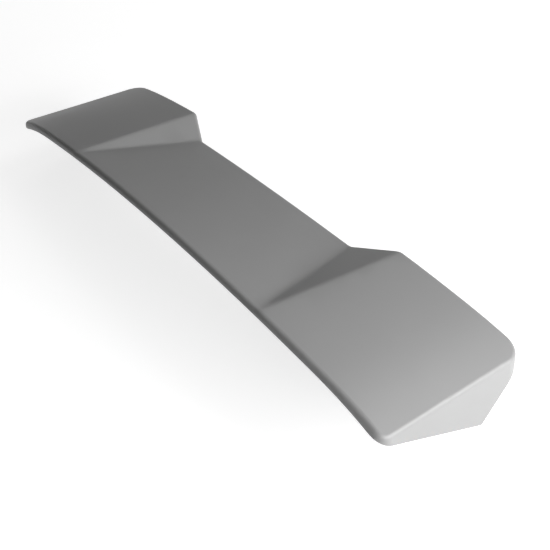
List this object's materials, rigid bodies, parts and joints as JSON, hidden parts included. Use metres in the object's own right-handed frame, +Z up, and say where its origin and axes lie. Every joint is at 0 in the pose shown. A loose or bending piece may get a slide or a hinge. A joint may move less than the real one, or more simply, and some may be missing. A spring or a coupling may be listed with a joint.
{
  "type": "roof spoiler",
  "caption": "Thin moulded roof spoiler with a raised wing at each end, flat flanks down to a low middle, and an open flanged underside.",
  "frame": {"origin": "middle of the leading edge, at its foot, where the moulding meets the roof", "axes": "+X across the car, +Y towards the rear of the car, +Z up"},
  "size_m": [1.1618, 0.3163, 0.1803],
  "materials": {
    "moulding": "plain grey moulded plastic, satin, ready to paint"
  },
  "bodies": {
    "root": {"roof_spoiler": "moulding"}
  },
  "joints": []
}
